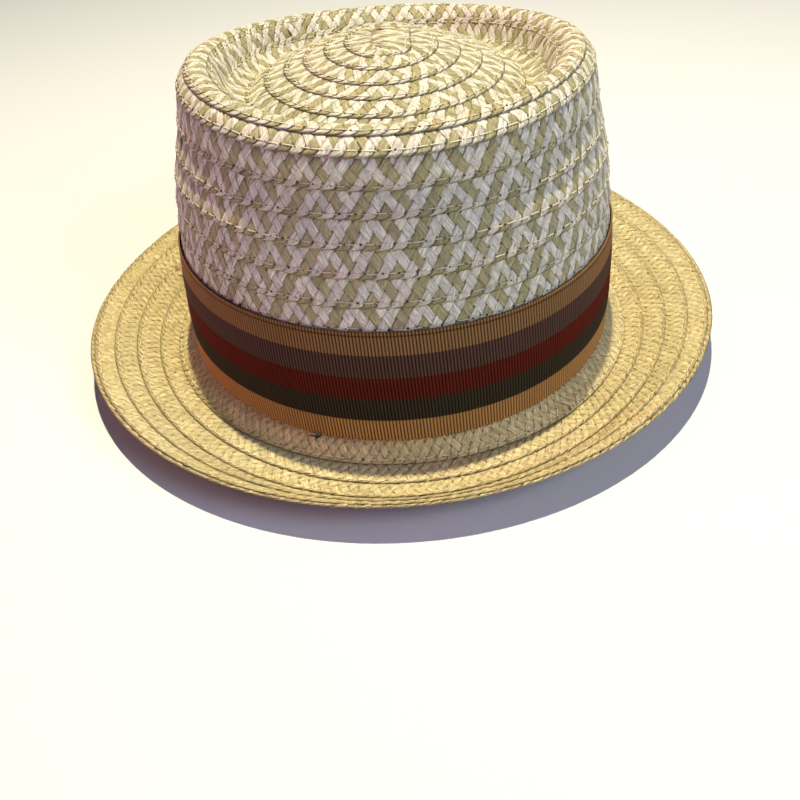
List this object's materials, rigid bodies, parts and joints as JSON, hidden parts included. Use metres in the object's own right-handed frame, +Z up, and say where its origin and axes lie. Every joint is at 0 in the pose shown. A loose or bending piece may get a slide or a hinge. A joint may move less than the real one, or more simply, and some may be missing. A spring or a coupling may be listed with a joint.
{
  "type": "pork pie hat",
  "caption": "Straw pork pie hat: plaited crown with a rolled rim, sunk groove and domed tip, a striped ribbon band and a short upturned brim.",
  "frame": {"origin": "middle of the hat's length and width, on the surface that it rests on", "axes": "+Z up through the crown, +Y to the wearer's front, +X to the wearer's right"},
  "size_m": [0.26, 0.2724, 0.1221],
  "materials": {
    "crown_straw": "matte paper-straw plait in ivory and sage olive",
    "brim_straw": "matte natural straw plait with a slight sheen",
    "ribbon": "ribbed grosgrain ribbon in five stripes"
  },
  "bodies": {
    "root": {"crown": "crown_straw", "brim": "brim_straw", "hat_band": "ribbon"}
  },
  "joints": []
}
